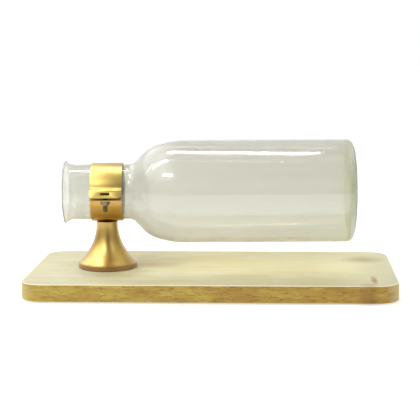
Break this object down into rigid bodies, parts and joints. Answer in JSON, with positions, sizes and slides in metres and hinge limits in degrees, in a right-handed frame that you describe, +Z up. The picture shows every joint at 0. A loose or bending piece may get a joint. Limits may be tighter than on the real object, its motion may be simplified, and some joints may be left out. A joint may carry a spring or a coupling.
{
  "type": "glass bottle on clamp stand",
  "caption": "Clear wide-mouthed glass bottle lying in the air, its neck held by a brass band clamp on a flared pedestal and a wooden board.",
  "frame": {"origin": "on the table, under the centre of the board", "axes": "+X along the board away from the pedestal, +Y to the back, +Z up"},
  "size_m": [0.36, 0.184, 0.1462],
  "materials": {
    "wood": "matt",
    "brass": "satin",
    "steel": "dull",
    "glass": "clear",
    "liner": "matt",
    "pad": "matt"
  },
  "bodies": {
    "stand": {"base_board": "wood", "pedestal": "brass", "pedestal_screw": "steel", "pedestal_washer": "steel", "pivot_screw": "steel", "pad_front_left": "pad", "pad_front_right": "pad", "pad_back_left": "pad", "pad_back_right": "pad"},
    "clamp_base": {"strap_lower": "brass"},
    "clamp_top": {"strap_upper": "brass", "clamp_hook_front": "steel", "clamp_hook_back": "steel"},
    "front_nut": {"clamp_nut_front": "steel"},
    "back_nut": {"clamp_nut_back": "steel"},
    "liner": {"neck_liner": "liner"},
    "glass": {"bottle": "glass"}
  },
  "joints": [
    {"name": "clamp_swivel", "type": "hinge", "parent": "stand", "child": "clamp_base", "pos_m": [-0.106, 0, 0.0655], "axis": [0, 0, 1], "continuous": true},
    {"name": "strap_lift", "type": "slide", "parent": "clamp_base", "child": "clamp_top", "axis": [0, 0, 1], "range_m": [0, 0.12]},
    {"name": "bottle_lift", "type": "slide", "parent": "clamp_base", "child": "liner", "axis": [0, 0, 1], "range_m": [0, 0.06]},
    {"name": "bottle_spin", "type": "hinge", "parent": "liner", "child": "glass", "pos_m": [-0.106, 0, 0.0947], "axis": [0.9986, 0.0534, 0], "continuous": true},
    {"name": "front_nut_turn", "type": "hinge", "parent": "clamp_base", "child": "front_nut", "pos_m": [-0.10303, -0.03489, 0.0947], "axis": [0, 0, 1], "continuous": true},
    {"name": "back_nut_turn", "type": "hinge", "parent": "clamp_base", "child": "back_nut", "pos_m": [-0.10677, 0.03501, 0.0947], "axis": [0, 0, 1], "continuous": true}
  ],
  "couplings": [
    {"joint": "bottle_lift", "follows": "strap_lift", "ratio": 0.5}
  ]
}
